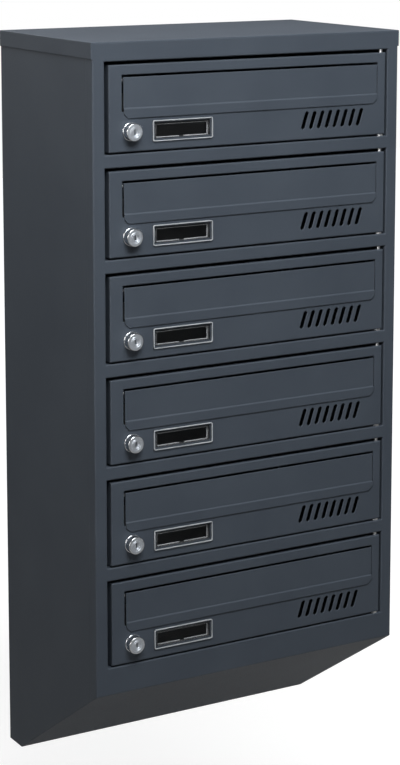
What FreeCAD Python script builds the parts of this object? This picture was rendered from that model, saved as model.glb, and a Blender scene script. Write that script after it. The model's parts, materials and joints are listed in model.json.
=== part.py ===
"""Wall-hung indoor mailbox unit: a sheet-steel cabinet with six hinged doors.

Each door carries a mail flap, a name window and a cam lock.

Frame: +X right, +Y back to the wall, +Z up, millimetres.
Origin: the centre of the four wall holes, on the wall face of the back panel.
"""
import FreeCAD, Part
import Sketcher
import os
import re

DOOR_COUNT = 6
VENT_COUNT = 8
# Half the angle of the flap's joggle
HALF_FOLD = "22.5 deg"
# Two coordinates closer than this are the same
TOUCH = 1e-4

# Driving dimensions in millimetres: name, value, meaning
SIZES = [
    ("cabinet_width", 380.0, "outside of the two side panels"),
    ("cabinet_depth", 220.0, "front frame's face to the wall"),
    ("sheet", 1.0, "cabinet sheet thickness"),
    ("bend_radius", 1.8, "outer radius of the cabinet's folded edges"),
    ("top_rail", 20.5, "roof top to the first door opening"),
    ("opening_height", 96.0, "height of a door opening"),
    ("rail_height", 14.0, "frame's face between two openings"),
    ("stile_width", 14.0, "frame's face at each side of an opening"),
    ("apron_height", 29.5, "frame's face below the last opening"),
    ("slant_drop", 124.0, "height of the slanted bottom"),
    ("rear_flat", 31.0, "level stretch of the bottom at the wall"),
    ("frame_return", 15.0, "depth of the frame's side returns"),
    ("opening_return", 14.0, "depth of the returns round an opening"),
    ("frame_edge", 0.8, "cut edge round an opening"),
    ("lid_clearance", 0.3, "roof flange to the carcass"),
    ("panel_flange", 15.0, "width of the panels' weld flanges"),
    ("shelf_flange", 12.0, "depth of a shelf's edge flanges"),
    ("shelf_clearance", 0.2, "shelf edge to the panel beside it"),
    ("hole_radius", 3.5, "wall hole"),
    ("hole_spacing_x", 280.0, "wall holes across"),
    ("hole_spacing_z", 550.0, "wall holes up and down"),
    ("hole_drop", 75.0, "roof top to the upper wall holes"),
    ("gap_top", 3.6, "opening to the door's top"),
    ("gap_bottom", 2.0, "opening to the door's bottom"),
    ("gap_lock", 5.0, "opening to the door's lock side"),
    ("gap_hinge", 2.7, "opening to the door's hinge side"),
    ("door_depth", 12.0, "depth of the door tray"),
    ("door_sheet", 1.0, "door sheet thickness"),
    ("door_edge", 0.8, "cut edge of the door's front"),
    ("hinge_inset_x", 4.0, "hinge axis to the door's edge"),
    ("hinge_inset_y", 4.0, "hinge axis behind the door's face"),
    ("pin_radius", 2.0, "hinge pin"),
    ("pin_reach", 3.0, "hinge pin past the door's flange"),
    ("pin_clearance", 0.1, "hinge pin in the door's hole, on the radius"),
    ("shoulder_radius", 3.4, "hexagon that carries the door, across corners, halved"),
    ("slot_top", 10.4, "door's top to the mail slot"),
    ("lower_band", 42.0, "door's bottom to the mail slot"),
    ("slot_lock_side", 15.0, "door's lock edge to the mail slot"),
    ("slot_hinge_side", 10.5, "mail slot to the door's hinge edge"),
    ("flap_sheet", 0.8, "flap sheet thickness"),
    ("flap_edge", 0.3, "cut edge of the flap's top"),
    ("flap_gap_top", 2.5, "slot to the flap's top edge"),
    ("flap_gap_lock", 2.0, "slot to the flap's end at the lock side"),
    ("flap_gap_hinge", 0.7, "slot to the flap's end at the hinge side"),
    ("crease_rise", 3.7, "slot's lower edge up to the flap's crease"),
    ("lip_overlap", 7.3, "slot's lower edge down to the flap's lower edge"),
    ("lip_clearance", 0.2, "flap's lip to the door's face"),
    ("lip_corner", 5.0, "cut corner of the flap's lip"),
    ("rod_radius", 1.5, "flap rod"),
    ("rod_depth", 4.0, "rod axis behind the door's face"),
    ("rod_drop", 3.2, "flap's top edge to the rod axis"),
    ("rod_clearance", 0.1, "rod in the flap's ears, on the radius"),
    ("rod_seat", 0.05, "rod in the door's tabs, on the radius"),
    ("rod_end", 2.0, "rod past the door's tabs"),
    ("tab_depth", 9.0, "rod tab behind the door's face"),
    ("tab_half", 5.0, "rod tab above and below the rod axis"),
    ("ear_reach", 4.0, "flap ear behind and below the rod axis"),
    ("window_left", 50.7, "door's lock edge to the name window"),
    ("window_bottom", 9.3, "door's bottom to the name window"),
    ("window_width", 72.0, "name window rim"),
    ("window_height", 22.0, "name window rim"),
    ("window_rim", 3.0, "rim that lies on the door's face"),
    ("window_proud", 1.8, "rim in front of the door's face"),
    ("window_depth", 8.0, "card tray behind the door's face"),
    ("window_wall", 1.2, "wall of the name window"),
    ("window_edge", 0.6, "cut edge of the rim"),
    ("window_fit", 0.2, "card tray in the door's hole"),
    ("notch_width", 12.0, "finger notch in the card tray"),
    ("notch_depth", 4.5, "finger notch in the card tray"),
    ("vent_span", 71.4, "first to last vent"),
    ("vent_hinge_side", 36.4, "last vent's foot to the door's hinge edge"),
    ("vent_bottom", 10.9, "door's bottom to the vents' foot"),
    ("vent_rise", 19.8, "foot to head of a vent"),
    ("vent_lean", 5.2, "sideways lean of a vent"),
    ("vent_half", 2.4, "half the width of a vent"),
    ("vent_tip", 1.8, "height of a vent's pointed ends"),
    ("lock_left", 25.4, "door's lock edge to the lock axis"),
    ("lock_bottom", 21.0, "door's bottom to the lock axis"),
    ("lock_head_radius", 9.3, "lock head"),
    ("lock_head_height", 9.0, "lock head in front of the door"),
    ("lock_flat", 6.3, "lock axis to the square shank's flats"),
    ("lock_length", 15.0, "lock shank behind the door's face"),
    ("lock_fit", 0.15, "shank in the door's hole, each side"),
    ("plug_radius", 3.9, "turning plug"),
    ("plug_clearance", 0.1, "plug in its bore, on the radius"),
    ("plug_recess", 0.6, "plug's face behind the lock head's rim"),
    ("key_width", 1.6, "keyhole"),
    ("key_height", 5.4, "keyhole"),
    ("key_depth", 7.0, "keyhole"),
    ("drive_half", 2.6, "half the plug's square drive"),
    ("drive_fit", 0.05, "square drive in the cam"),
    ("drive_end", 1.5, "square drive past the cam"),
    ("cam_gap", 0.4, "lock shank's end to the cam"),
    ("cam_thickness", 2.0, "cam"),
    ("cam_half", 6.5, "half the cam's width"),
    ("cam_length", 38.0, "lock axis to the cam's tip"),
    ("cam_corner", 3.0, "cut corners of the cam"),
]
NAMES = {name for name, value, meaning in SIZES}

doc = FreeCAD.newDocument("mailbox_unit")
dims = doc.addObject("Spreadsheet::Sheet", "dims")
for row, (name, value, meaning) in enumerate(SIZES, start=1):
    dims.set("A%d" % row, name)
    dims.set("B%d" % row, str(value))
    dims.set("C%d" % row, meaning)
    dims.setAlias("B%d" % row, name)
doc.recompute()


def bound(formula):
    """A formula in plain dimension names, written for the sheet."""
    return re.sub(r"[a-z_]+", lambda m: "dims." + m.group() if m.group() in NAMES else m.group(), formula)


def size(formula):
    """The present value of a formula in millimetres."""
    return float(dims.evalExpression(bound(formula)))


def tie(thing, path, formula):
    thing.setExpression(path, bound(formula))


# Levels and places that several pieces share, from the driving dimensions
ROOF = "(hole_drop + hole_spacing_z / 2)"
FRONT = "(-cabinet_depth)"
HALF = "(cabinet_width / 2)"
RUN = "(cabinet_depth - rear_flat)"
SLOPE = "(slant_drop / %s)" % RUN
TILT = "atan2(slant_drop; %s)" % RUN
PITCH = "(opening_height + rail_height)"
OPENINGS_HEIGHT = "(%s * %d + opening_height)" % (PITCH, DOOR_COUNT - 1)
FRAME_HEIGHT = "(top_rail + %s + apron_height)" % OPENINGS_HEIGHT
FULL_HEIGHT = "(%s + slant_drop)" % FRAME_HEIGHT
OPENING_WIDTH = "(cabinet_width - 2 * stile_width)"
DOOR_WIDTH = "(%s - gap_lock - gap_hinge)" % OPENING_WIDTH
DOOR_HEIGHT = "(opening_height - gap_top - gap_bottom)"
DOOR_LEFT = "(stile_width + gap_lock - %s)" % HALF
SLOT_WIDTH = "(%s - slot_lock_side - slot_hinge_side)" % DOOR_WIDTH
SLOT_ROOF = "(%s - slot_top)" % DOOR_HEIGHT
FLAP_PLATE = "(%s - lower_band - flap_gap_top - crease_rise)" % SLOT_ROOF
ROD_HEIGHT = "(%s - flap_gap_top - rod_drop)" % SLOT_ROOF


def opening_top(number):
    return "(%s - top_rail - %s * %d)" % (ROOF, PITCH, number - 1)


def opening_bottom(number):
    return "(%s - opening_height)" % opening_top(number)


def door_bottom(number):
    return "(%s + gap_bottom)" % opening_bottom(number)


# Helpers for bodies, sketches and features
def new_body(label, x, y, z):
    body = doc.addObject("PartDesign::Body", label)
    body.Label = label
    tie(body, "Placement.Base.x", x)
    tie(body, "Placement.Base.y", y)
    tie(body, "Placement.Base.z", z)
    return body


def origin_part(body, role):
    return next(part for part in body.Origin.OriginFeatures if part.Role == role)


def new_sketch(body, plane, offset="0"):
    sketch = body.newObject("Sketcher::SketchObject", body.Label + "_sketch")
    sketch.AttachmentSupport = [(origin_part(body, plane), "")]
    sketch.MapMode = "FlatFace"
    tie(sketch, "AttachmentOffset.Base.z", offset)
    return sketch


def hold(sketch, kind, geometry, point, formula):
    """Fix a point's distance from the sketch's origin, or a radius."""
    start = () if kind == "Radius" else (-1, 1)
    place = (geometry,) if kind == "Radius" else (geometry, point)
    number = sketch.addConstraint(Sketcher.Constraint(kind, *start, *place, size(formula)))
    tie(sketch, "Constraints[%d]" % number, formula)


def polygon(sketch, corners):
    first = sketch.GeometryCount
    count = len(corners)
    spots = [FreeCAD.Vector(size(x), size(y), 0) for x, y in corners]
    for step in range(count):
        sketch.addGeometry(Part.LineSegment(spots[step], spots[(step + 1) % count]))
    for step in range(count):
        after = first + (step + 1) % count
        sketch.addConstraint(Sketcher.Constraint("Coincident", first + step, 2, after, 1))
    for step, (x, y) in enumerate(corners):
        hold(sketch, "DistanceX", first + step, 1, x)
        hold(sketch, "DistanceY", first + step, 1, y)


def rectangle(sketch, left, low, right, high):
    polygon(sketch, [(left, low), (right, low), (right, high), (left, high)])


def square(sketch, x, y, half):
    low = ["%s - %s" % (middle, half) for middle in (x, y)]
    high = ["%s + %s" % (middle, half) for middle in (x, y)]
    rectangle(sketch, *low, *high)


def circle(sketch, x, y, radius):
    centre = FreeCAD.Vector(size(x), size(y), 0)
    number = sketch.addGeometry(Part.Circle(centre, FreeCAD.Vector(0, 0, 1), size(radius)))
    hold(sketch, "DistanceX", number, 3, x)
    hold(sketch, "DistanceY", number, 3, y)
    hold(sketch, "Radius", number, 0, radius)


def pad(body, sketch, length, back=False):
    feature = body.newObject("PartDesign::Pad", body.Label + "_pad")
    feature.Profile = sketch
    feature.Reversed = back
    tie(feature, "Length", length)
    return feature


def pocket(body, sketch, length, back=False):
    feature = body.newObject("PartDesign::Pocket", body.Label + "_pocket")
    feature.Profile = sketch
    feature.Reversed = back
    tie(feature, "Length", length)
    return feature


def row_of(body, features, axis, spacing, count, back=False):
    feature = body.newObject("PartDesign::LinearPattern", body.Label + "_row")
    feature.Originals = features
    feature.Direction = (origin_part(body, axis), [""])
    feature.Mode = "Spacing"
    feature.Occurrences = count
    feature.Reversed = back
    tie(feature, "Offset", spacing)
    body.Tip = feature
    return feature


def mirrored(body, features, plane):
    feature = body.newObject("PartDesign::Mirrored", body.Label + "_mirrored")
    feature.Originals = features
    feature.MirrorPlane = (origin_part(body, plane), [""])
    body.Tip = feature
    return feature


def dress(body, kind, sizing, formula, wanted):
    """Round or cut the edges whose two ends both answer to a test."""
    doc.recompute()
    base = body.Tip
    edges = [
        "Edge%d" % number
        for number, edge in enumerate(base.Shape.Edges, start=1)
        if len(edge.Vertexes) == 2 and wanted(edge.Vertexes[0].Point, edge.Vertexes[1].Point)
    ]
    feature = body.newObject("PartDesign::" + kind, body.Label + "_" + kind.lower())
    feature.Base = (base, edges)
    tie(feature, sizing, formula)
    return feature


def near(value, formula):
    return abs(value - size(formula)) < TOUCH


# Cabinet
def make_front_frame():
    """One sheet: stiles, rails and apron, returned at its sides and round every opening."""
    body = new_body("front_frame", "0", FRONT, ROOF)
    side = new_sketch(body, "YZ_Plane", "-" + HALF)
    polygon(side, [
        ("0", "-sheet"),
        ("0", "-" + FRAME_HEIGHT),
        ("frame_return", "-%s - frame_return * %s" % (FRAME_HEIGHT, SLOPE)),
        ("frame_return", "-sheet"),
    ])
    pad(body, side, "cabinet_width")
    dress(body, "Fillet", "Radius", "bend_radius", lambda a, b: near(a.y, "0") and near(b.y, "0")
          and abs(a.x - b.x) < TOUCH)
    hollow = new_sketch(body, "XY_Plane", "-" + FULL_HEIGHT)
    rectangle(hollow, "sheet - " + HALF, "sheet", HALF + " - sheet", "2 * frame_return")
    pocket(body, hollow, FULL_HEIGHT, back=True)
    collar = new_sketch(body, "XZ_Plane")
    outer = "%s / 2 + sheet" % OPENING_WIDTH
    rectangle(collar, "-(%s)" % outer, "-top_rail - opening_height - sheet", outer, "sheet - top_rail")
    collar_pad = pad(body, collar, "opening_return", back=True)
    opening = new_sketch(body, "XZ_Plane")
    inner = "%s / 2" % OPENING_WIDTH
    rectangle(opening, "-" + inner, "-top_rail - opening_height", inner, "-top_rail")
    opening_cut = pocket(body, opening, "2 * opening_return")
    row_of(body, [collar_pad, opening_cut], "Z_Axis", PITCH, DOOR_COUNT, back=True)
    dress(body, "Chamfer", "Size", "frame_edge", lambda a, b: near(a.y, "0") and near(b.y, "0")
          and max(abs(a.x), abs(b.x)) < size(inner) + TOUCH)
    return body


def make_side_panel(label, right):
    """Flat side cut on the slant, with a weld flange along the wall."""
    body = new_body(label, HALF if right else "-" + HALF, "0", ROOF)
    outline = new_sketch(body, "YZ_Plane")
    polygon(outline, [
        ("frame_return - cabinet_depth", "-sheet"),
        ("frame_return - cabinet_depth", "-%s - frame_return * %s" % (FRAME_HEIGHT, SLOPE)),
        ("-rear_flat", "-" + FULL_HEIGHT),
        ("0", "-" + FULL_HEIGHT),
        ("0", "-sheet"),
    ])
    pad(body, outline, "sheet", back=right)
    flange = new_sketch(body, "XY_Plane", "-sheet")
    edges = ("sheet / 2", "panel_flange")
    if right:
        edges = ("-panel_flange", "-sheet / 2")
    rectangle(flange, edges[0], "-2 * sheet", edges[1], "-sheet")
    pad(body, flange, "%s - 3 * sheet - panel_flange" % FULL_HEIGHT, back=True)
    return body


def make_roof_panel():
    """Lid tray with front and side flanges, open at the wall."""
    body = new_body("roof_panel", "0", FRONT, ROOF)
    reach = "(%s + lid_clearance + sheet)" % HALF
    lip = "(-lid_clearance - sheet)"
    top = new_sketch(body, "XY_Plane")
    rectangle(top, "-" + reach, lip, reach, "cabinet_depth")
    pad(body, top, "top_rail", back=True)
    dress(body, "Fillet", "Radius", "bend_radius", lambda a, b: near(a.z, "0") and near(b.z, "0")
          and not (near(a.y, "cabinet_depth") and near(b.y, "cabinet_depth")))
    inside = new_sketch(body, "XY_Plane", "-top_rail")
    room = "(%s + lid_clearance)" % HALF
    rectangle(inside, "-" + room, "-lid_clearance", room, "2 * cabinet_depth")
    pocket(body, inside, "top_rail - sheet", back=True)
    return body


def make_back_panel():
    """Flat back between the sides, with four wall holes."""
    body = new_body("back_panel", "0", "0", "0")
    plate = new_sketch(body, "XZ_Plane")
    edge = "(%s - sheet)" % HALF
    rectangle(plate, "-" + edge, "%s - %s" % (ROOF, FULL_HEIGHT), edge, "%s - sheet" % ROOF)
    for across in ("-hole_spacing_x / 2", "hole_spacing_x / 2"):
        for up in ("-hole_spacing_z / 2", "hole_spacing_z / 2"):
            circle(plate, across, up, "hole_radius")
    pad(body, plate, "sheet")
    return body


def make_bottom_panel():
    """Folded sheet: flange behind the apron, slant, level stretch and flange at the wall."""
    body = new_body("bottom_panel", "0", FRONT, "%s - %s" % (ROOF, FRAME_HEIGHT))
    inner_slant = "(-2 * sheet * %s + sheet / cos(%s))" % (SLOPE, TILT)
    wall_face = "(cabinet_depth - sheet)"
    profile = new_sketch(body, "YZ_Plane", "sheet - " + HALF)
    polygon(profile, [
        ("sheet", "-sheet * " + SLOPE),
        (RUN, "-slant_drop"),
        (wall_face, "-slant_drop"),
        (wall_face, "panel_flange - slant_drop"),
        ("%s - sheet" % wall_face, "panel_flange - slant_drop"),
        ("%s - sheet" % wall_face, "sheet - slant_drop"),
        ("%s + sheet * tan(%s / 2)" % (RUN, TILT), "sheet - slant_drop"),
        ("2 * sheet", inner_slant),
        ("2 * sheet", "%s + panel_flange" % inner_slant),
        ("sheet", "%s + panel_flange" % inner_slant),
    ])
    pad(body, profile, "cabinet_width - 2 * sheet")
    return body


def make_shelf(label, number):
    """Compartment floor welded under the frame's return, with flanges at its sides and the wall."""
    body = new_body(label, "0", FRONT, "%s - sheet" % opening_bottom(number))
    side = "(%s - sheet - shelf_clearance)" % HALF
    front = "(sheet + shelf_clearance)"
    rear = "(cabinet_depth - 2 * sheet)"
    plate = new_sketch(body, "XY_Plane")
    rectangle(plate, "-" + side, front, side, rear)
    pad(body, plate, "sheet", back=True)
    flanges = new_sketch(body, "XY_Plane")
    polygon(flanges, [
        ("-" + side, "frame_return"),
        ("-%s + sheet" % side, "frame_return"),
        ("-%s + sheet" % side, "%s - sheet" % rear),
        ("%s - sheet" % side, "%s - sheet" % rear),
        ("%s - sheet" % side, "frame_return"),
        (side, "frame_return"),
        (side, rear),
        ("-" + side, rear),
    ])
    pad(body, flanges, "shelf_flange", back=True)
    return body


def make_hinge_pins():
    """Two pins for every door, welded to the frame's returns.

    A hexagon on the lower one carries the door.
    """
    across = "%s + %s - hinge_inset_x" % (DOOR_LEFT, DOOR_WIDTH)
    along = "%s + hinge_inset_y" % FRONT

    def upright(kind, breadth, radius, height, low):
        pin = doc.addObject(kind, "pin_blank")
        tie(pin, breadth, radius)
        tie(pin, "Height", height)
        tie(pin, "Placement.Base.x", across)
        tie(pin, "Placement.Base.y", along)
        tie(pin, "Placement.Base.z", low)
        return pin

    pins = []
    for number in range(1, DOOR_COUNT + 1):
        upper_length = "(gap_top + door_sheet + pin_reach)"
        upper_foot = "%s - %s" % (opening_top(number), upper_length)
        lower_length = "gap_bottom + door_sheet + pin_reach"
        pins.append(upright("Part::Cylinder", "Radius", "pin_radius", upper_length, upper_foot))
        lower = doc.addObject("Part::Fuse", "lower_pin")
        foot = opening_bottom(number)
        lower.Base = upright("Part::Cylinder", "Radius", "pin_radius", lower_length, foot)
        lower.Tool = upright("Part::Prism", "Circumradius", "shoulder_radius", "gap_bottom", foot)
        pins.append(lower)
    group = doc.addObject("Part::Compound", "hinge_pins")
    group.Label = "hinge_pins"
    group.Links = pins
    return group


# Doors and what they carry
def on_door(label, number, x, y, z):
    """A body placed from the door's lower corner at the lock side, on its face."""
    return new_body(label, "%s + %s" % (DOOR_LEFT, x), "%s + %s" % (FRONT, y),
                    "%s + %s" % (door_bottom(number), z))


def make_door(number):
    """Folded tray with a mail slot, rod tabs, lock hole, window hole, vents and hinge holes."""
    body = on_door("door_%d" % number, number, "0", "0", "0")
    face = new_sketch(body, "XZ_Plane")
    rectangle(face, "0", "0", DOOR_WIDTH, DOOR_HEIGHT)
    pad(body, face, "door_depth", back=True)
    dress(body, "Chamfer", "Size", "door_edge", lambda a, b: near(a.y, "0") and near(b.y, "0"))
    hollow = new_sketch(body, "XZ_Plane", "-door_sheet")
    inner_corner = ("%s - door_sheet" % DOOR_WIDTH, "%s - door_sheet" % DOOR_HEIGHT)
    rectangle(hollow, "door_sheet", "door_sheet", *inner_corner)
    pocket(body, hollow, "2 * door_depth")

    slot_end = "(slot_lock_side + %s)" % SLOT_WIDTH
    for inner_face in ("slot_lock_side - door_sheet", slot_end):
        tab = new_sketch(body, "YZ_Plane", inner_face)
        tab_top = "%s + tab_half" % ROD_HEIGHT
        rectangle(tab, "door_sheet / 2", "%s - tab_half" % ROD_HEIGHT, "tab_depth", tab_top)
        square(tab, "rod_depth", ROD_HEIGHT, "(rod_radius + rod_seat)")
        pad(body, tab, "door_sheet")

    cuts = new_sketch(body, "XZ_Plane")
    rectangle(cuts, "slot_lock_side", "lower_band", slot_end, SLOT_ROOF)
    rectangle(
        cuts,
        "window_left + window_rim - window_fit",
        "window_bottom + window_rim - window_fit",
        "window_left + window_width - window_rim + window_fit",
        "window_bottom + window_height - window_rim + window_fit",
    )
    square(cuts, "lock_left", "lock_bottom", "(lock_flat + lock_fit)")
    pocket(body, cuts, "2 * door_sheet")

    hinge = new_sketch(body, "XY_Plane")
    circle(hinge, "%s - hinge_inset_x" % DOOR_WIDTH, "hinge_inset_y", "pin_radius + pin_clearance")
    pocket(body, hinge, DOOR_HEIGHT, back=True)

    vent = new_sketch(body, "XZ_Plane")
    head = "vent_bottom + vent_rise"
    first = "%s - vent_hinge_side - vent_span" % DOOR_WIDTH
    polygon(vent, [
        (first, "vent_bottom"),
        (first + " + vent_half", "vent_bottom + vent_tip"),
        (first + " + vent_lean + vent_half", head + " - vent_tip"),
        (first + " + vent_lean", head),
        (first + " + vent_lean - vent_half", head + " - vent_tip"),
        (first + " - vent_half", "vent_bottom + vent_tip"),
    ])
    vent_cut = pocket(body, vent, "2 * door_sheet")
    row_of(body, [vent_cut], "X_Axis", "vent_span / %d" % (VENT_COUNT - 1), VENT_COUNT)
    return body


def make_flap(number):
    """Folded plate that fills the slot, with a lip over the slot's lower edge and two hooked ears."""
    middle = "slot_lock_side + (%s + flap_gap_lock - flap_gap_hinge) / 2" % SLOT_WIDTH
    body = on_door("mail_flap_%d" % number, number, middle, "rod_depth", ROD_HEIGHT)
    half = "((%s - flap_gap_lock - flap_gap_hinge) / 2)" % SLOT_WIDTH
    step = "(flap_sheet + lip_clearance)"
    face = "(-rod_depth)"
    crease = "(rod_drop - %s)" % FLAP_PLATE
    fold = "flap_sheet * tan(%s)" % HALF_FOLD
    lower = "(%s - crease_rise - lip_overlap)" % crease
    profile = new_sketch(body, "YZ_Plane", "-" + half)
    polygon(profile, [
        (face, "rod_drop"),
        (face, crease),
        ("%s - %s" % (face, step), "%s - %s" % (crease, step)),
        ("%s - %s" % (face, step), lower),
        ("%s - %s + flap_sheet" % (face, step), lower),
        ("%s - %s + flap_sheet" % (face, step), "%s - %s - %s" % (crease, step, fold)),
        ("%s + flap_sheet" % face, "%s - %s" % (crease, fold)),
        ("%s + flap_sheet" % face, "rod_drop"),
    ])
    pad(body, profile, "2 * " + half)
    ear = new_sketch(body, "YZ_Plane", half)
    hook = "(rod_radius + rod_clearance)"
    polygon(ear, [
        ("%s + flap_sheet / 2" % face, "-ear_reach"),
        ("-" + hook, "-ear_reach"),
        ("-" + hook, hook),
        (hook, hook),
        (hook, "-ear_reach"),
        ("ear_reach", "-ear_reach"),
        ("ear_reach", "rod_drop"),
        ("%s + flap_sheet / 2" % face, "rod_drop"),
    ])
    ear_pad = pad(body, ear, "flap_sheet", back=True)
    mirrored(body, [ear_pad], "YZ_Plane")
    dress(body, "Chamfer", "Size", "lip_corner", lambda a, b: near(a.z, lower) and near(b.z, lower)
          and abs(a.x - b.x) < TOUCH)
    dress(body, "Chamfer", "Size", "flap_edge", lambda a, b: near(a.y, face) and near(b.y, face)
          and near(a.z, "rod_drop") and near(b.z, "rod_drop"))
    return body


def make_flap_rod(number):
    """Round rod through the door's tabs and the flap's ears."""
    rod = doc.addObject("Part::Cylinder", "flap_rod_%d" % number)
    rod.Label = "flap_rod_%d" % number
    rod.Placement.Rotation = FreeCAD.Rotation(FreeCAD.Vector(0, 1, 0), 90)
    tie(rod, "Radius", "rod_radius")
    tie(rod, "Height", "%s + 2 * (door_sheet + rod_end)" % SLOT_WIDTH)
    tie(rod, "Placement.Base.x", "%s + slot_lock_side - door_sheet - rod_end" % DOOR_LEFT)
    tie(rod, "Placement.Base.y", "%s + rod_depth" % FRONT)
    tie(rod, "Placement.Base.z", "%s + %s" % (door_bottom(number), ROD_HEIGHT))
    return rod


def make_name_window(number):
    """Clear rim and card tray, open behind, with a finger notch in its floor."""
    body = on_door("name_window_%d" % number, number, "window_left", "0", "window_bottom")
    rim = new_sketch(body, "XZ_Plane")
    rectangle(rim, "0", "0", "window_width", "window_height")
    pad(body, rim, "window_proud")
    dress(body, "Chamfer", "Size", "window_edge", lambda a, b: near(a.y, "-window_proud")
          and near(b.y, "-window_proud"))
    tray = new_sketch(body, "XZ_Plane")
    rectangle(tray, "window_rim", "window_rim", "window_width - window_rim", "window_height - window_rim")
    pad(body, tray, "window_depth", back=True)
    inset = "(window_rim + window_wall)"
    card = new_sketch(body, "XZ_Plane", "window_proud - window_wall")
    rectangle(card, inset, inset, "window_width - " + inset, "window_height - " + inset)
    pocket(body, card, "2 * window_depth")
    notch = new_sketch(body, "XZ_Plane", "-window_depth")
    notch_end = "(window_width + notch_width) / 2"
    rectangle(notch, "(window_width - notch_width) / 2", "0", notch_end, "2 * window_rim")
    pocket(body, notch, "notch_depth", back=True)
    return body


def make_lock_housing(number):
    """Round lock head on a square shank that keeps it from turning, bored for the plug."""
    body = on_door("lock_housing_%d" % number, number, "lock_left", "0", "lock_bottom")
    head = new_sketch(body, "XZ_Plane")
    circle(head, "0", "0", "lock_head_radius")
    pad(body, head, "lock_head_height")
    shank = new_sketch(body, "XZ_Plane")
    square(shank, "0", "0", "lock_flat")
    pad(body, shank, "lock_length", back=True)
    bore = new_sketch(body, "XZ_Plane", "lock_head_height")
    circle(bore, "0", "0", "plug_radius + plug_clearance")
    pocket(body, bore, "2 * (lock_head_height + lock_length)")
    return body


def make_lock_plug(number):
    """Turning plug with a keyhole and a square drive for the cam."""
    body = on_door("lock_plug_%d" % number, number, "lock_left", "0", "lock_bottom")
    face = "(lock_head_height - plug_recess)"
    barrel = new_sketch(body, "XZ_Plane", face)
    circle(barrel, "0", "0", "plug_radius")
    pad(body, barrel, "%s + lock_length" % face, back=True)
    drive = new_sketch(body, "XZ_Plane", "-lock_length")
    square(drive, "0", "0", "drive_half")
    pad(body, drive, "cam_gap + cam_thickness + drive_end", back=True)
    keyhole = new_sketch(body, "XZ_Plane", face)
    rectangle(keyhole, "-key_width / 2", "-key_height / 2", "key_width / 2", "key_height / 2")
    pocket(body, keyhole, "key_depth")
    return body


def make_lock_cam(number):
    """Flat cam on the square drive, pointing up while unlocked."""
    body = on_door("lock_cam_%d" % number, number, "lock_left", "lock_length + cam_gap", "lock_bottom")
    outline = new_sketch(body, "XZ_Plane")
    polygon(outline, [
        ("cam_corner - cam_half", "-cam_half"),
        ("cam_half - cam_corner", "-cam_half"),
        ("cam_half", "cam_corner - cam_half"),
        ("cam_half", "cam_length - cam_corner"),
        ("cam_half - cam_corner", "cam_length"),
        ("cam_corner - cam_half", "cam_length"),
        ("-cam_half", "cam_length - cam_corner"),
        ("-cam_half", "cam_corner - cam_half"),
    ])
    square(outline, "0", "0", "(drive_half + drive_fit)")
    pad(body, outline, "cam_thickness", back=True)
    return body


sub_parts = [
    make_front_frame(),
    make_side_panel("left_side_panel", False),
    make_side_panel("right_side_panel", True),
    make_roof_panel(),
    make_back_panel(),
    make_bottom_panel(),
]
for shelf_number in range(1, DOOR_COUNT):
    sub_parts.append(make_shelf("shelf_%d" % shelf_number, shelf_number))
sub_parts.append(make_shelf("floor_panel", DOOR_COUNT))
sub_parts.append(make_hinge_pins())
for door_number in range(1, DOOR_COUNT + 1):
    for make in (make_door, make_flap, make_flap_rod, make_name_window,
                 make_lock_housing, make_lock_plug, make_lock_cam):
        sub_parts.append(make(door_number))
doc.recompute()

for item in doc.Objects:
    if "Invalid" in item.State or "Error" in item.State:
        raise RuntimeError("%s did not build: %s" % (item.Label, item.State))
for item in sub_parts:
    if item.Shape.isNull() or not item.Shape.isValid() or not item.Shape.Solids:
        raise RuntimeError("%s has no valid solid" % item.Label)

os.makedirs("parts", exist_ok=True)
for item in sub_parts:
    item.Shape.exportStep("parts/%s.step" % item.Label)
print("wrote %d parts" % len(sub_parts))
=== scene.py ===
import json
import math

import bmesh
import bpy
from mathutils import Matrix, Vector


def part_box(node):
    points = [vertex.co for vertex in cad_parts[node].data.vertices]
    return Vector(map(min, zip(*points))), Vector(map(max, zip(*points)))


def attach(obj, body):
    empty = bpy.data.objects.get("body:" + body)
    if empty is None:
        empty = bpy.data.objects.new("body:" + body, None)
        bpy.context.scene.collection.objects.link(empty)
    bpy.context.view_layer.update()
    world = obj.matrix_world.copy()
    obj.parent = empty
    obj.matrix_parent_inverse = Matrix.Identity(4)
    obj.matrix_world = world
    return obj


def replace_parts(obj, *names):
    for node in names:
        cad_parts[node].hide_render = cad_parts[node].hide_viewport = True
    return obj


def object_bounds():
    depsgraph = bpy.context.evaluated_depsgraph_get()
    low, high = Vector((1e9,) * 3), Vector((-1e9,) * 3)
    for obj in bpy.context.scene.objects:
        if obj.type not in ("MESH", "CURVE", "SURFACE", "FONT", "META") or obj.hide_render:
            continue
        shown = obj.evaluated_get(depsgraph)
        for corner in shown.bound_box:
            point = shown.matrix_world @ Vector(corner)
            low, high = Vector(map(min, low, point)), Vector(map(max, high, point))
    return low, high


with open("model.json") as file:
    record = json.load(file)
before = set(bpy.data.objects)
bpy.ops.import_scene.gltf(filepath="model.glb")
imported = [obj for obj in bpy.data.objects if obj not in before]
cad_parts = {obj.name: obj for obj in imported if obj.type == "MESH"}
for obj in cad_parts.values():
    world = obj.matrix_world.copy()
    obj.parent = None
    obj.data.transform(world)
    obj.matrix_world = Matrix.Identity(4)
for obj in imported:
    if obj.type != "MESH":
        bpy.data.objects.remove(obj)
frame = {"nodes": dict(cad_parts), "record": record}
cad_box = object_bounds()
MM = 0.001
DOORS = range(1, 7)
# Room between two faces that would otherwise lie in one plane
HAIR = 0.02 * MM
# Most of a noise's values lie between these two
NOISE_SPAN = (0.3, 0.7)
# Flats in a quarter turn: of a window's corner, and of a lock's rounded edge
CORNER_STEPS = 6
BEND_STEPS = 8
# Edges that turn more than this stay sharp in smooth shading
SHARP = math.radians(35)


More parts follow.
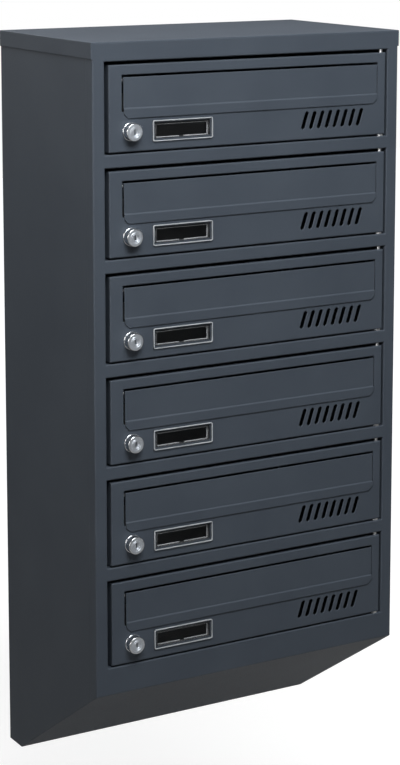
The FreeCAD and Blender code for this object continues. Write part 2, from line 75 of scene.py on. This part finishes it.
# Materials
def blank_material(name):
    """A new material, its nodes and links, and its shader."""
    mat = bpy.data.materials.new(name)
    mat.use_nodes = True
    nodes = mat.node_tree.nodes
    return mat, nodes, mat.node_tree.links, nodes["Principled BSDF"]


def noise(nodes, links, scale, detail, stretch=(1, 1, 1)):
    """Noise in the object's own metres; scale is in waves to the metre."""
    place = nodes.new("ShaderNodeTexCoord")
    mapping = nodes.new("ShaderNodeMapping")
    mapping.inputs["Scale"].default_value = stretch
    tex = nodes.new("ShaderNodeTexNoise")
    tex.inputs["Scale"].default_value = scale
    tex.inputs["Detail"].default_value = detail
    links.new(place.outputs["Object"], mapping.inputs["Vector"])
    links.new(mapping.outputs["Vector"], tex.inputs["Vector"])
    return tex.outputs["Fac"]


def tones(nodes, links, source, low, high):
    """A noise turned into colours between two ends."""
    node = nodes.new("ShaderNodeValToRGB")
    for stop, place, tone in zip(node.color_ramp.elements, NOISE_SPAN, (low, high)):
        stop.position = place
        stop.color = (*tone, 1)
    links.new(source, node.inputs["Fac"])
    return node.outputs["Color"]


def map_range(nodes, links, source, start, end, low, high):
    """A number that runs from low to high while its source runs from start to end."""
    node = nodes.new("ShaderNodeMapRange")
    node.inputs["From Min"].default_value = start
    node.inputs["From Max"].default_value = end
    node.inputs["To Min"].default_value = low
    node.inputs["To Max"].default_value = high
    links.new(source, node.inputs["Value"])
    return node.outputs["Result"]


def bump(nodes, links, bsdf, source, height, rounding=0.0):
    """A fine relief, over edges that are shaded round to a radius."""
    node = nodes.new("ShaderNodeBump")
    if rounding:
        edge = nodes.new("ShaderNodeBevel")
        edge.samples = 6
        edge.inputs["Radius"].default_value = rounding
        links.new(edge.outputs["Normal"], node.inputs["Normal"])
    node.inputs["Strength"].default_value = 1.0
    node.inputs["Distance"].default_value = height
    links.new(source, node.inputs["Height"])
    links.new(node.outputs["Normal"], bsdf.inputs["Normal"])


def powder_coat(name, rounding):
    """Satin anthracite powder: faint clouds of tone, fine grain and orange peel."""
    mat, nodes, links, bsdf = blank_material(name)
    clouds = noise(nodes, links, scale=14.0, detail=4.0)
    colour = tones(nodes, links, clouds, (0.042, 0.052, 0.067), (0.049, 0.060, 0.076))
    links.new(colour, bsdf.inputs["Base Color"])
    grain = noise(nodes, links, scale=900.0, detail=2.0)
    links.new(map_range(nodes, links, grain, *NOISE_SPAN, 0.50, 0.62), bsdf.inputs["Roughness"])
    bump(nodes, links, bsdf, grain, 0.02 * MM, rounding)
    bsdf.inputs["Specular IOR Level"].default_value = 0.22
    return mat


def metal(name, low, high, rough, scale, stretch=(1, 1, 1), height=0.0):
    """Bare or plated metal: tone and roughness follow one grain, and a height gives it a fine relief."""
    mat, nodes, links, bsdf = blank_material(name)
    grain = noise(nodes, links, scale, detail=3.0, stretch=stretch)
    links.new(tones(nodes, links, grain, low, high), bsdf.inputs["Base Color"])
    links.new(map_range(nodes, links, grain, *NOISE_SPAN, *rough), bsdf.inputs["Roughness"])
    bsdf.inputs["Metallic"].default_value = 1.0
    if height:
        bump(nodes, links, bsdf, grain, height)
    return mat


def clear_plastic(name, low, high, rough, alpha):
    """Moulded clear plastic with faint flow marks; alpha is how much of it hides what lies behind."""
    mat, nodes, links, bsdf = blank_material(name)
    flow = noise(nodes, links, scale=60.0, detail=2.0)
    links.new(tones(nodes, links, flow, low, high), bsdf.inputs["Base Color"])
    links.new(map_range(nodes, links, flow, *NOISE_SPAN, *rough), bsdf.inputs["Roughness"])
    bsdf.inputs["Alpha"].default_value = alpha
    bsdf.inputs["IOR"].default_value = 1.49
    return mat


PAINT = powder_coat("powder_coat", rounding=1.4 * MM)
# The lid's edges are round in its mesh
LID_PAINT = powder_coat("powder_coat_lid", rounding=0.0)
NICKEL = metal("lock_nickel", (0.66, 0.68, 0.70), (0.75, 0.77, 0.79), rough=(0.20, 0.28), scale=500.0)
SATIN = metal("lock_nickel_satin", (0.50, 0.53, 0.57), (0.63, 0.67, 0.72), rough=(0.44, 0.60), scale=900.0,
              height=0.015 * MM)
STEEL = metal("pin_steel", (0.82, 0.83, 0.84), (0.92, 0.92, 0.93), rough=(0.28, 0.42), scale=300.0,
              stretch=(1, 1, 6), height=0.004 * MM)
ZINC = metal("cam_zinc", (0.50, 0.51, 0.51), (0.62, 0.62, 0.60), rough=(0.34, 0.50), scale=220.0,
             height=0.006 * MM)
CLEAR = clear_plastic("clear_plastic", (0.012, 0.013, 0.014), (0.024, 0.025, 0.026), (0.05, 0.12), 0.16)
# The bead, rib and tray wall are copies of the clear plastic in lighter tones. On the bead and rib the
# light tone is a painted highlight, and on the wall it is a painted sheen, standing in for the light that
# clear plastic edges and walls catch
BEAD_PAINTED_HIGHLIGHT = clear_plastic("clear_plastic_edge_painted_highlight", (0.46, 0.49, 0.52), (0.64, 0.67, 0.70), (0.12, 0.24), 0.55)
RIB_PAINTED_HIGHLIGHT = clear_plastic("clear_plastic_rib_painted_highlight", (0.66, 0.69, 0.72), (0.82, 0.85, 0.88), (0.12, 0.24), 0.9)
WALL_PAINTED_SHEEN = clear_plastic("clear_plastic_wall_painted_sheen", (0.16, 0.17, 0.18), (0.24, 0.25, 0.26), (0.16, 0.28), 0.45)
SLOTS = {"powder_coat": PAINT, "lock_nickel": SATIN, "pin_steel": STEEL, "cam_zinc": ZINC,
         "clear_plastic": CLEAR}
for entry in frame["record"]["subparts"]:
    for place in frame["nodes"][entry["node"]].material_slots:
        place.material = SLOTS[entry["material_slot"]]


# Pieces
def piece(name, bm, mat, body, smooth=True):
    """A finished piece that rides on a body."""
    bmesh.ops.recalc_face_normals(bm, faces=bm.faces)
    mesh = bpy.data.meshes.new(name)
    bm.to_mesh(mesh)
    bm.free()
    obj = bpy.data.objects.new(name, mesh)
    bpy.context.scene.collection.objects.link(obj)
    mesh.materials.append(mat)
    if smooth:
        for face in mesh.polygons:
            face.use_smooth = True
        mesh.set_sharp_from_angle(angle=SHARP)
    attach(obj, body)
    return obj


def turned(bm, profile, centre, steps):
    """A closed ring turned about an axis along Y. The profile is in (radius, y) from the centre."""
    verts = [bm.verts.new(centre + Vector((radius, y, 0))) for radius, y in profile]
    edges = [bm.edges.new((verts[i - 1], verts[i])) for i in range(len(verts))]
    bmesh.ops.spin(bm, geom=verts + edges, cent=centre, axis=(0, 1, 0), angle=2 * math.pi, steps=steps,
                   use_merge=True, use_duplicate=False)


def rolled(radius, y, bend):
    """Profile points of a round edge, from a flat face at a depth out to a radius."""
    turns = [i * math.pi / 2 / BEND_STEPS for i in range(BEND_STEPS + 1)]
    return [(radius - bend + bend * math.sin(turn), y + bend - bend * math.cos(turn)) for turn in turns]


def prism(bm, outline, y0, y1):
    """An outline in (x, z) drawn out between two depths. Gives its edges."""
    before = set(bm.verts)
    face = bm.faces.new([bm.verts.new((x, y0, z)) for x, z in outline])
    out = bmesh.ops.extrude_face_region(bm, geom=[face])
    moved = [v for v in out["geom"] if isinstance(v, bmesh.types.BMVert)]
    bmesh.ops.translate(bm, verts=moved, vec=(0, y1 - y0, 0))
    return [e for e in bm.edges if e.verts[0] not in before]


def soften(bm, edges, radius, segments=2):
    """Edges rounded to a radius."""
    bmesh.ops.bevel(bm, geom=edges, offset=radius, segments=segments, profile=0.5, affect="EDGES",
                    material=-1)


def plate(bm, outline, y0, y1, edge):
    """A flat plate from an outline in (x, z), between two depths, with soft edges."""
    soften(bm, prism(bm, outline, y0, y1), edge)


def rounded_loop(bm, x0, z0, x1, z1, bend, y):
    """A rectangle's outline with round corners, at a depth. Gives its edges."""
    before = set(bm.edges)
    corners = [bm.verts.new((x, y, z)) for x, z in ((x0, z0), (x1, z0), (x1, z1), (x0, z1))]
    bm.faces.new(corners)
    bmesh.ops.bevel(bm, geom=corners, offset=bend, segments=CORNER_STEPS, profile=0.5, affect="VERTICES",
                    material=-1)
    loop = [e for e in bm.edges if e not in before]
    bmesh.ops.delete(bm, geom=loop[0].link_faces[:], context="FACES_ONLY")
    return loop


def frame_bar(bm, x0, z0, x1, z1, corner, wide, y0, y1, edge):
    """A closed bead round a rectangle: round corners, soft edges, its inner side set in by a width."""
    before = set(bm.edges)
    inner_corner = max(corner - wide, corner / 4)
    outer = rounded_loop(bm, x0, z0, x1, z1, corner, y0)
    inner = rounded_loop(bm, x0 + wide, z0 + wide, x1 - wide, z1 - wide, inner_corner, y0)
    front = bmesh.ops.bridge_loops(bm, edges=outer + inner)["faces"]
    out = bmesh.ops.extrude_face_region(bm, geom=front)
    moved = [v for v in out["geom"] if isinstance(v, bmesh.types.BMVert)]
    bmesh.ops.translate(bm, verts=moved, vec=(0, y1 - y0, 0))
    bmesh.ops.recalc_face_normals(bm, faces=bm.faces)
    rims = [e for e in bm.edges if e not in before and e.calc_face_angle(0.0) > math.pi / 4]
    soften(bm, rims, edge)


def roof_lid():
    """Lid with flanges at its sides only, its front edge level with the frame's face."""
    sheet, flange, rounding = 1.0 * MM, 17.5 * MM, 0.8 * MM
    ear_width, ear_depth = 1.9 * MM, 1.8 * MM
    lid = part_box("roof_panel")[1]
    face_low, face_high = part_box("front_frame")
    outer, inner = lid.x, face_high.x + HAIR
    top, foot = lid.z, lid.z - flange
    front, wall = face_low.y - HAIR, lid.y
    bm = bmesh.new()
    edges = prism(bm, [(-outer, foot), (-inner, foot), (-inner, top - sheet), (inner, top - sheet),
                       (inner, foot), (outer, foot), (outer, top), (-outer, top)], front, wall)
    crown = [e for e in edges
             if all(v.co.z > top - HAIR for v in e.verts) and any(v.co.y < wall - HAIR for v in e.verts)]
    corners = [e for e in edges if e not in crown
               and all(abs(v.co.x) > outer - HAIR and v.co.y < front + HAIR for v in e.verts)]
    lips = [e for e in edges
            if all(abs(v.co.x) > outer - HAIR and v.co.z < foot + HAIR for v in e.verts)]
    soften(bm, crown + corners + lips, rounding, segments=4)
    # Ears at the flanges' front ends close the corners
    for y in (front + ear_depth, front + ear_depth - 2 * HAIR):
        bmesh.ops.bisect_plane(bm, geom=bm.verts[:] + bm.edges[:] + bm.faces[:],
                               plane_co=(0, y, 0), plane_no=(0, 1, 0))
    for side in (-1, 1):
        ends = [v for v in bm.verts
                if abs(v.co.x - side * inner) < HAIR and v.co.y < front + ear_depth - HAIR]
        bmesh.ops.translate(bm, verts=ends, vec=(-side * ear_width, 0, 0))
    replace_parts(piece("roof_lid", bm, LID_PAINT, "cabinet", smooth=False), "roof_panel")


def cam_lock(k):
    """A lock's body, face and keyhole ring, its spring clip and its cam screw."""
    leaf, lock = "door_leaf_%d" % k, "lock_%d" % k
    low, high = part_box("lock_housing_%d" % k)
    plug_low, plug_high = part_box("lock_plug_%d" % k)
    door_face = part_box("door_%d" % k)[0].y
    axis = Vector(((low.x + high.x) / 2, low.y, (low.z + high.z) / 2))
    radius, plug_radius = (high.x - low.x) / 2, (plug_high.x - plug_low.x) / 2
    round_steps, ring_steps, washer_steps = 96, 56, 40

    # Body: a polished barrel on a thin round-edged flange, and a square shank
    # Depths run back from the lock's front
    play, rim, lap = 0.1 * MM, 0.9 * MM, 0.5 * MM
    bore, seat, flange = plug_radius + play, radius - rim, radius + lap
    depth, floor, flat = door_face - low.y, 0.9 * MM, 0.05 * MM
    flange_thickness, nick = 0.9 * MM, 0.1 * MM
    step = depth - flange_thickness
    rim_bend, flange_bend = 0.7 * MM, 0.45 * MM
    shank, shank_corner, shank_edge, overlap = 6.3 * MM, 0.4 * MM, 0.1 * MM, 0.4 * MM
    bm = bmesh.new()
    turned(bm, [(bore, depth), (bore, floor), (seat, floor), (seat, flat)]
           + rolled(radius, 0.0, rim_bend) + [(radius, step)]
           + rolled(flange, step, flange_bend) + [(flange, depth - nick), (flange - nick, depth)],
           axis, round_steps)
    frame_bar(bm, axis.x - shank, axis.z - shank, axis.x + shank, axis.z + shank,
              shank_corner, shank - bore, low.y + depth - overlap, high.y, shank_edge)
    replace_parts(piece("lock_body_%d" % k, bm, NICKEL, leaf), "lock_housing_%d" % k)

    # Satin face set into the barrel, with a ring groove
    land, groove_half, groove_floor = 1.6 * MM, 0.3 * MM, 0.3 * MM
    groove = bore + land
    lead_in, seat_edge = 0.25 * MM, 0.05 * MM
    bm = bmesh.new()
    turned(bm, [(bore, floor), (bore, lead_in), (bore + lead_in, flat), (groove - groove_half, flat),
                (groove, groove_floor), (groove + groove_half, flat), (seat - seat_edge, flat),
                (seat, flat + seat_edge), (seat, floor)], axis, round_steps)
    piece("lock_face_%d" % k, bm, SATIN, leaf)

    # Dished ring round the keyhole, its profile in millimetres from the plug's edge and front
    ring = ((-1.0, 0.2), (-1.0, -0.1), (-0.75, -0.35), (-0.3, -0.35), (-0.05, -0.1), (-0.05, 0.2))
    bm = bmesh.new()
    turned(bm, [(plug_radius + out * MM, y * MM) for out, y in ring], Vector((axis.x, plug_low.y, axis.z)),
           ring_steps)
    piece("lock_plug_ring_%d" % k, bm, SATIN, lock)

    # Spring clip behind the door, pushed over the square shank from below
    gap, arm, clip_foot, clip_top, cut = 6.45 * MM, 10.5 * MM, -10.0 * MM, 10.5 * MM, 3.0 * MM
    door_sheet, slack, clip_sheet, clip_edge = 1.0 * MM, 0.05 * MM, 1.0 * MM, 0.2 * MM
    clip_front = door_face + door_sheet + slack
    clip = ((-arm, clip_foot), (-gap, clip_foot), (-gap, gap), (gap, gap), (gap, clip_foot),
            (arm, clip_foot), (arm, clip_top - cut), (arm - cut, clip_top), (cut - arm, clip_top),
            (-arm, clip_top - cut))
    bm = bmesh.new()
    plate(bm, [(axis.x + x, axis.z + z) for x, z in clip], clip_front, clip_front + clip_sheet, clip_edge)
    piece("lock_clip_%d" % k, bm, ZINC, leaf)

    # Washer, its profile in millimetres, and hexagon screw that hold the cam
    end = Vector((axis.x, plug_high.y, axis.z))
    washer = ((1.2, -0.05), (4.8, -0.05), (5.0, 0.15), (5.0, 0.6), (4.8, 0.8), (1.2, 0.8))
    head_radius, head_front, head_back, head_edge = 3.9 * MM, 0.7 * MM, 3.2 * MM, 0.3 * MM
    corners = [(math.cos(i * math.pi / 3), math.sin(i * math.pi / 3)) for i in range(6)]
    bm = bmesh.new()
    turned(bm, [(out * MM, y * MM) for out, y in washer], end, washer_steps)
    plate(bm, [(end.x + head_radius * x, end.z + head_radius * z) for x, z in corners],
          end.y + head_front, end.y + head_back, head_edge)
    piece("cam_screw_%d" % k, bm, ZINC, lock)


def rod_caps(k):
    """Push-on caps that keep the flap rod in its tabs."""
    wide, narrow, height, overhang, rounding = 3.0 * MM, 2.4 * MM, 1.2 * MM, 0.2 * MM, 0.25 * MM
    low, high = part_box("flap_rod_%d" % k)
    bm = bmesh.new()
    for x, way in ((low.x, 1), (high.x, -1)):
        place = Matrix.Translation((x + way * overhang, (low.y + high.y) / 2, (low.z + high.z) / 2))
        turn = Matrix.Rotation(-way * math.pi / 2, 4, "Y")
        cap = bmesh.ops.create_cone(bm, cap_ends=True, segments=32, radius1=wide, radius2=narrow,
                                    depth=height, matrix=place @ turn)
        # An edge is a rim where an end meets the slope
        rims = [e for e in bm.edges if e.verts[0] in cap["verts"]
                and abs(e.link_faces[0].normal.x - e.link_faces[1].normal.x) > 0.3]
        soften(bm, rims, rounding)
    piece("rod_caps_%d" % k, bm, STEEL, "door_leaf_%d" % k)


def name_window(k):
    """Bead, seat, tray lining and card rib of a name window."""
    leaf = "door_leaf_%d" % k
    low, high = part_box("name_window_%d" % k)
    door_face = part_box("door_%d" % k)[0].y

    # Moulded bead along the window's outer edge
    bead_corner, bead_wide, bead_edge = 2.0 * MM, 1.1 * MM, 0.3 * MM
    bead_front, bead_back = low.y - 0.15 * MM, low.y + 1.7 * MM
    bm = bmesh.new()
    frame_bar(bm, low.x, low.z, high.x, high.z, bead_corner, bead_wide, bead_front, bead_back, bead_edge)
    piece("window_bead_%d" % k, bm, BEAD_PAINTED_HIGHLIGHT, leaf)

    # Seat of the door's sheet under the window's rim
    set_in, seat_corner, seat_wide, seat_edge = 0.3 * MM, 1.7 * MM, 2.4 * MM, 0.05 * MM
    seat_front, seat_back = door_face - 0.25 * MM, door_face + 0.3 * MM
    bm = bmesh.new()
    frame_bar(bm, low.x + set_in, low.z + set_in, high.x - set_in, high.z - set_in,
              seat_corner, seat_wide, seat_front, seat_back, seat_edge)
    piece("window_seat_%d" % k, bm, PAINT, leaf)

    # Lining of the card tray
    tray_side, tray_foot = 4.15 * MM, 3.3 * MM
    left, right, middle = low.x + tray_side, high.x - tray_side, (low.x + high.x) / 2
    foot, head = low.z + tray_foot, high.z - tray_side
    mouth, tray_end = low.y + 1.25 * MM, low.y + 4.2 * MM
    lining, lining_corner, lining_edge = 0.3 * MM, 0.8 * MM, 0.08 * MM
    bm = bmesh.new()
    frame_bar(bm, left, foot, right, head, lining_corner, lining, mouth, tray_end, lining_edge)
    piece("window_lining_%d" % k, bm, WALL_PAINTED_SHEEN, leaf)

    # Rib at the tray's end that holds the card, open at the finger notch
    rib, notch, rib_edge = 1.0 * MM, 3.0 * MM, 0.15 * MM
    rib_front, rib_back = tray_end + 0.05 * MM, tray_end + 0.95 * MM
    bm = bmesh.new()
    for x0, x1, z0, z1 in ((left, left + rib, foot, head), (right - rib, right, foot, head),
                           (left + rib, right - rib, head - rib, head),
                           (left + rib, middle - notch, foot, foot + rib),
                           (middle + notch, right - rib, foot, foot + rib)):
        plate(bm, [(x0, z0), (x1, z0), (x1, z1), (x0, z1)], rib_front, rib_back, rib_edge)
    piece("window_rib_%d" % k, bm, RIB_PAINTED_HIGHLIGHT, leaf)


roof_lid()
for k in DOORS:
    cam_lock(k)
    rod_caps(k)
    name_window(k)


# Stage
def seen_directly(nodes, links):
    """One for rays from the camera or through glass, nought for all others."""
    path = nodes.new("ShaderNodeLightPath")
    either = nodes.new("ShaderNodeMath")
    either.operation = "MAXIMUM"
    links.new(path.outputs["Is Camera Ray"], either.inputs[0])
    links.new(path.outputs["Is Transmission Ray"], either.inputs[1])
    return either.outputs[0]


def joined(nodes, links, kind, *sources):
    """The first output of a new node whose first inputs are the sources."""
    node = nodes.new(kind)
    for place, source in enumerate(sources):
        links.new(source, node.inputs[place])
    return node.outputs[0]


def pale(name, tone):
    """Pale surface: white with the shadow kept, to the camera and through glass, and clear from below."""
    mat, nodes, links, bsdf = blank_material(name)
    near, far, near_glow, far_glow = 1.1, 2.8, 0.68, 1.07
    bsdf.inputs["Base Color"].default_value = (*tone, 1)
    bsdf.inputs["Roughness"].default_value = 0.9
    # The glow grows with the distance from the object, so that the shadow near it is kept
    place = nodes.new("ShaderNodeTexCoord")
    away = nodes.new("ShaderNodeVectorMath")
    away.operation = "LENGTH"
    links.new(place.outputs["Object"], away.inputs[0])
    glow = nodes.new("ShaderNodeEmission")
    glow.inputs["Color"].default_value = (0.975, 0.985, 1.0, 1)
    strength = map_range(nodes, links, away.outputs["Value"], near, far, near_glow, far_glow)
    links.new(strength, glow.inputs["Strength"])
    plain = bsdf.outputs[0]
    lit = joined(nodes, links, "ShaderNodeAddShader", plain, glow.outputs[0])
    above = joined(nodes, links, "ShaderNodeMixShader", seen_directly(nodes, links), plain, lit)
    underside = nodes.new("ShaderNodeNewGeometry").outputs["Backfacing"]
    clear = nodes.new("ShaderNodeBsdfTransparent").outputs[0]
    surface = joined(nodes, links, "ShaderNodeMixShader", underside, above, clear)
    links.new(surface, nodes["Material Output"].inputs["Surface"])
    return mat


def pale_floor():
    """A wide floor below the unit."""
    half_size, drop = 6.0, 0.25
    bm = bmesh.new()
    bmesh.ops.create_grid(bm, x_segments=2, y_segments=2, size=half_size,
                          matrix=Matrix.Translation((0, 0, cad_box[0].z - drop)))
    mesh = bpy.data.meshes.new("floor")
    bm.to_mesh(mesh)
    bm.free()
    floor = bpy.data.objects.new("floor", mesh)
    mesh.materials.append(pale("pale_floor", (0.41, 0.40, 0.385)))
    bpy.context.scene.collection.objects.link(floor)


def studio_world():
    """White to the camera and through glass. Else a dim fill, brighter in reflections, less overhead."""
    fill_level, gloss_level = 0.07, 0.3
    fade_start, fade_end, faded = 0.2, 0.6, 0.1
    world = bpy.data.worlds.new("studio")
    bpy.context.scene.world = world
    world.use_nodes = True
    nodes, links = world.node_tree.nodes, world.node_tree.links
    reflected = nodes.new("ShaderNodeLightPath").outputs["Is Glossy Ray"]
    level = map_range(nodes, links, reflected, 0.0, 1.0, fill_level, gloss_level)
    heading = nodes.new("ShaderNodeTexCoord")
    climb = nodes.new("ShaderNodeSeparateXYZ")
    links.new(heading.outputs["Generated"], climb.inputs[0])
    overhead = map_range(nodes, links, climb.outputs["Z"], fade_start, fade_end, 1.0, faded)
    strength = nodes.new("ShaderNodeMath")
    strength.operation = "MULTIPLY"
    links.new(level, strength.inputs[0])
    links.new(overhead, strength.inputs[1])
    fill = nodes["Background"]
    fill.inputs["Color"].default_value = (0.96, 0.98, 1.0, 1)
    links.new(strength.outputs[0], fill.inputs["Strength"])
    white = nodes.new("ShaderNodeBackground")
    white.inputs["Color"].default_value = (1, 1, 1, 1)
    white.inputs["Strength"].default_value = 1.0
    surface = joined(nodes, links, "ShaderNodeMixShader", seen_directly(nodes, links), fill.outputs[0],
                     white.outputs[0])
    links.new(surface, nodes["World Output"].inputs["Surface"])


def area_light(name, place, aim, wide, high, power, tone=(1, 1, 1), beam=180, gloss_only=False):
    """A soft lamp, in metres, watts and degrees. One that is gloss_only shows in reflections alone."""
    data = bpy.data.lights.new(name, "AREA")
    data.shape = "RECTANGLE"
    data.size = wide
    data.size_y = high
    data.energy = power
    data.color = tone
    data.spread = math.radians(beam)
    obj = bpy.data.objects.new(name, data)
    obj.location = place
    obj.rotation_euler = (Vector(aim) - Vector(place)).to_track_quat("-Z", "Y").to_euler()
    obj.visible_diffuse = not gloss_only
    bpy.context.scene.collection.objects.link(obj)


pale_floor()
studio_world()
COOL, WARM = (0.975, 0.99, 1.0), (1.0, 0.93, 0.87)
area_light("key", (-0.3, -1.2, 1.35), (0.0, -0.2, 0.2), 1.0, 0.8, 17.0, COOL, beam=110)
area_light("top", (-0.1, 0.1, 1.9), (0.0, -0.1, 0.3), 1.6, 1.2, 15.5)
area_light("left", (-1.7, -0.7, 0.65), (-0.19, -0.1, 0.3), 0.7, 0.7, 1.5, WARM, beam=60)
area_light("strip", (-2.1, -1.35, 0.45), (-0.19, -0.22, 0.0), 0.3, 1.6, 12.0, gloss_only=True)
area_light("front", (-1.5, -2.4, 0.2), (0.0, -0.2, 0.0), 0.8, 1.6, 2.0, COOL)
area_light("right", (1.8, 0.2, 0.9), (0.2, -0.1, 0.0), 1.0, 1.4, 15.0)
area_light("back", (-0.3, 1.9, 0.9), (0.0, 0.0, 0.0), 1.4, 1.4, 14.0)

# Camera at the photograph's viewing angle; the focal length is in pixels of its 765 pixel height
FOCAL_PIXELS, PHOTO_HEIGHT, SENSOR = 2090.0, 765.0, 36.0
TILT_DOWN, TURN_RIGHT = math.radians(8.2), math.radians(30.13)
camera = bpy.data.cameras.new("camera")
camera.sensor_fit = "VERTICAL"
camera.sensor_height = SENSOR
camera.sensor_width = SENSOR
camera.lens = FOCAL_PIXELS * SENSOR / PHOTO_HEIGHT
camera.shift_y = -0.25
view = bpy.data.objects.new("camera", camera)
view.location = (-1.159, -2.108, 0.503)
view.rotation_euler = (math.pi / 2 - TILT_DOWN, 0, -TURN_RIGHT)
bpy.context.scene.collection.objects.link(view)
bpy.context.scene.camera = view
bpy.context.scene.view_settings.view_transform = "Standard"
